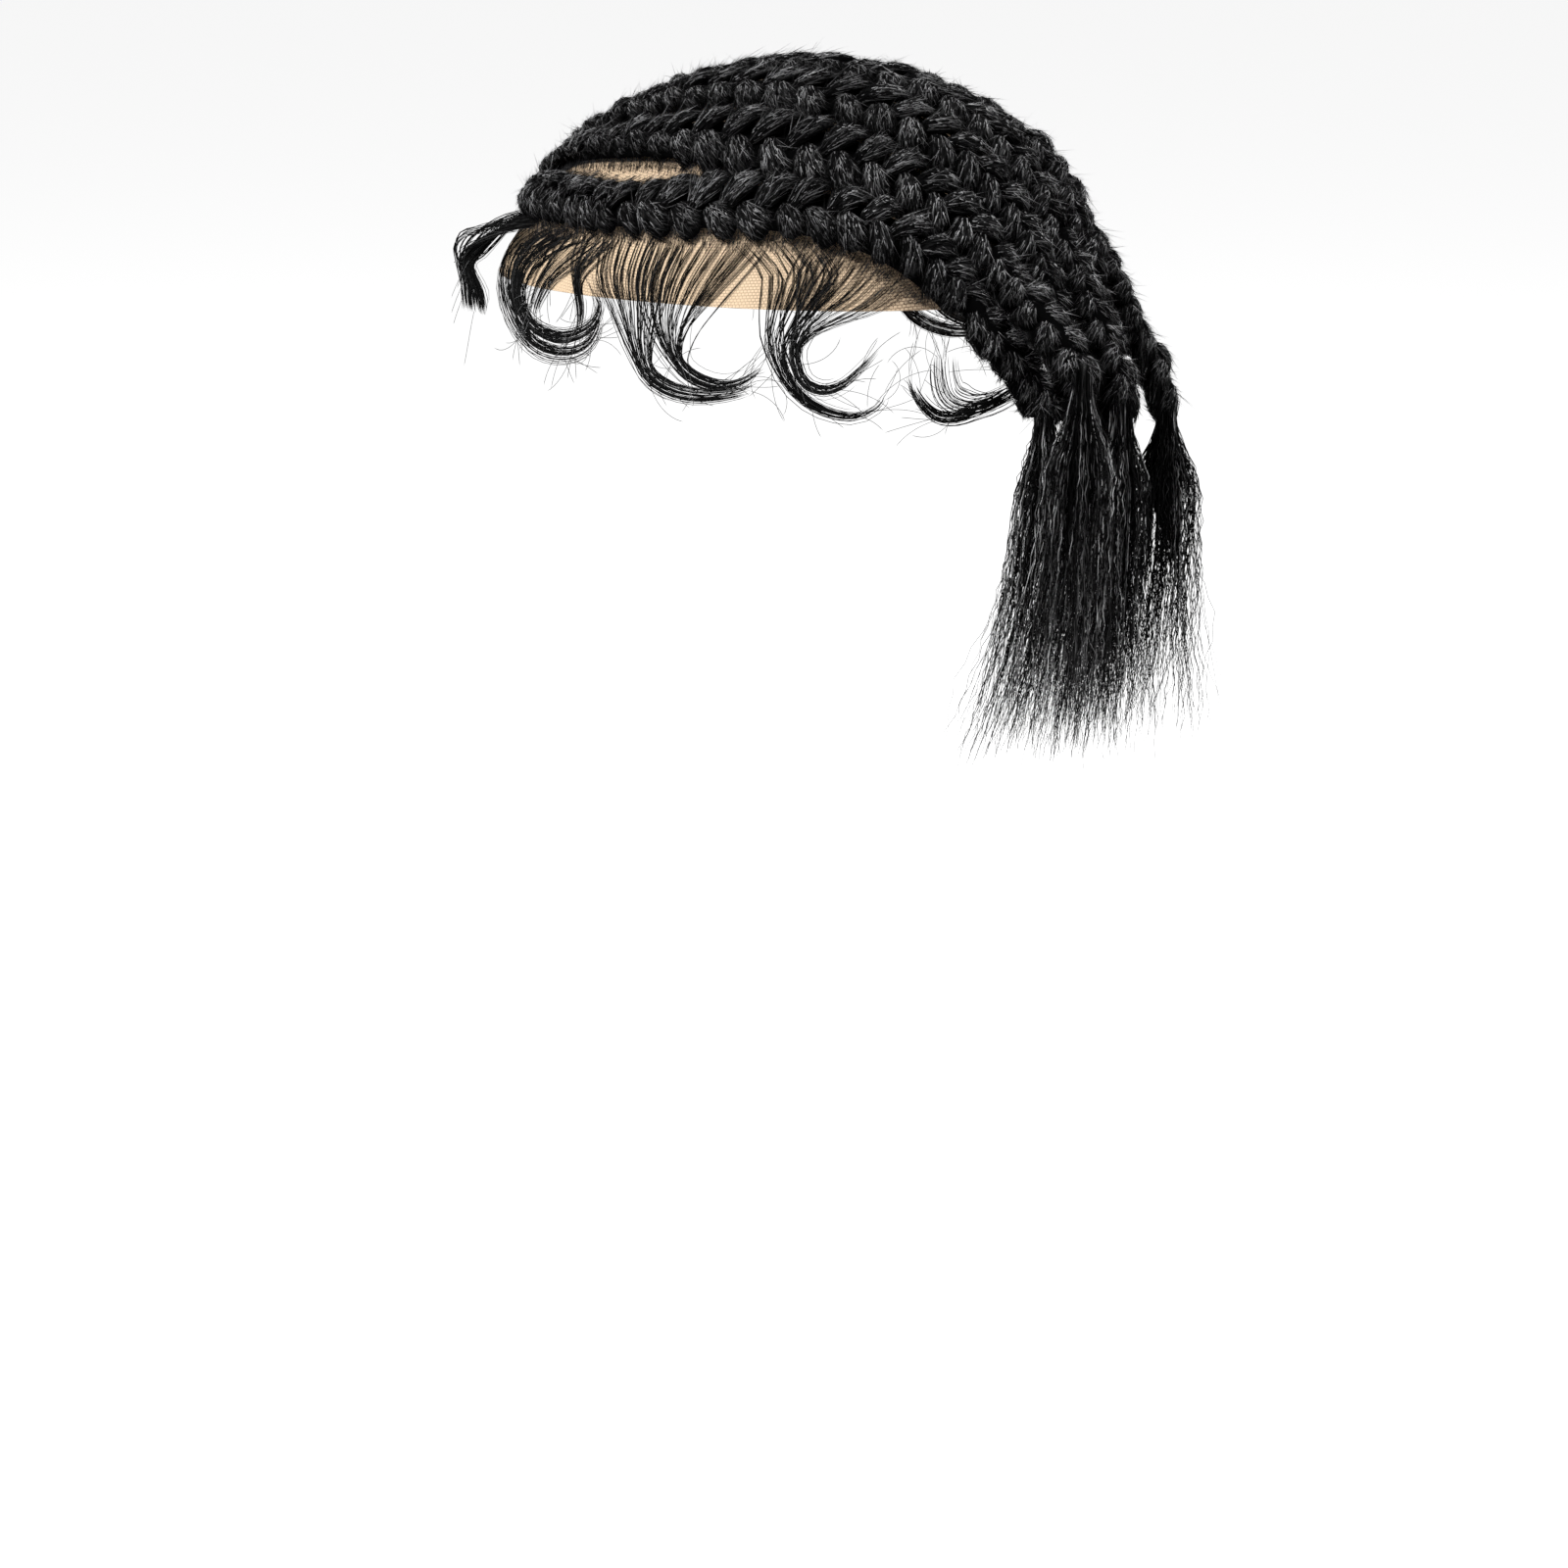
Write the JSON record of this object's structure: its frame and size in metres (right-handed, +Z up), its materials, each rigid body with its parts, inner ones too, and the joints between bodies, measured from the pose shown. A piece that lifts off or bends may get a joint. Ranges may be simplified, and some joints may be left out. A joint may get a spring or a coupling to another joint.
{
  "type": "cornrow toupee",
  "caption": "Head-shaped lace base with braided cornrows running front to back, loose braid tails with brush ends at the nape, and swept edge curls round the hairline.",
  "frame": {"origin": "crown of the hollow, where the inside of the lace base sits on the top of the head", "axes": "+Z up, front of the head towards -Y, the wearer's left towards +X"},
  "size_m": [0.1596, 0.2165, 0.2],
  "materials": {
    "lace": "fine skin-toned net",
    "braid_hair": "crimped black fibre, plaited",
    "edge_hair": "smoothed black fibre"
  },
  "bodies": {
    "root": {"lace_base": "lace", "cornrow_left_side": "braid_hair", "cornrow_left_mid": "braid_hair", "cornrow_left_top": "braid_hair", "cornrow_centre": "braid_hair", "cornrow_right_top": "braid_hair", "cornrow_right_mid": "braid_hair", "cornrow_right_side": "braid_hair", "tail_left_side": "braid_hair", "tail_left_mid": "braid_hair", "tail_left_top": "braid_hair", "tail_centre": "braid_hair", "tail_right_top": "braid_hair", "tail_right_mid": "braid_hair", "tail_right_side": "braid_hair", "curl_left_brow": "edge_hair", "curl_right_brow": "edge_hair", "curl_left_temple": "edge_hair", "curl_right_temple": "edge_hair", "curl_left_side": "edge_hair", "curl_right_side": "edge_hair", "curl_left_ear": "edge_hair", "curl_right_ear": "edge_hair", "curl_left_nape": "edge_hair", "curl_right_nape": "edge_hair"}
  },
  "joints": []
}
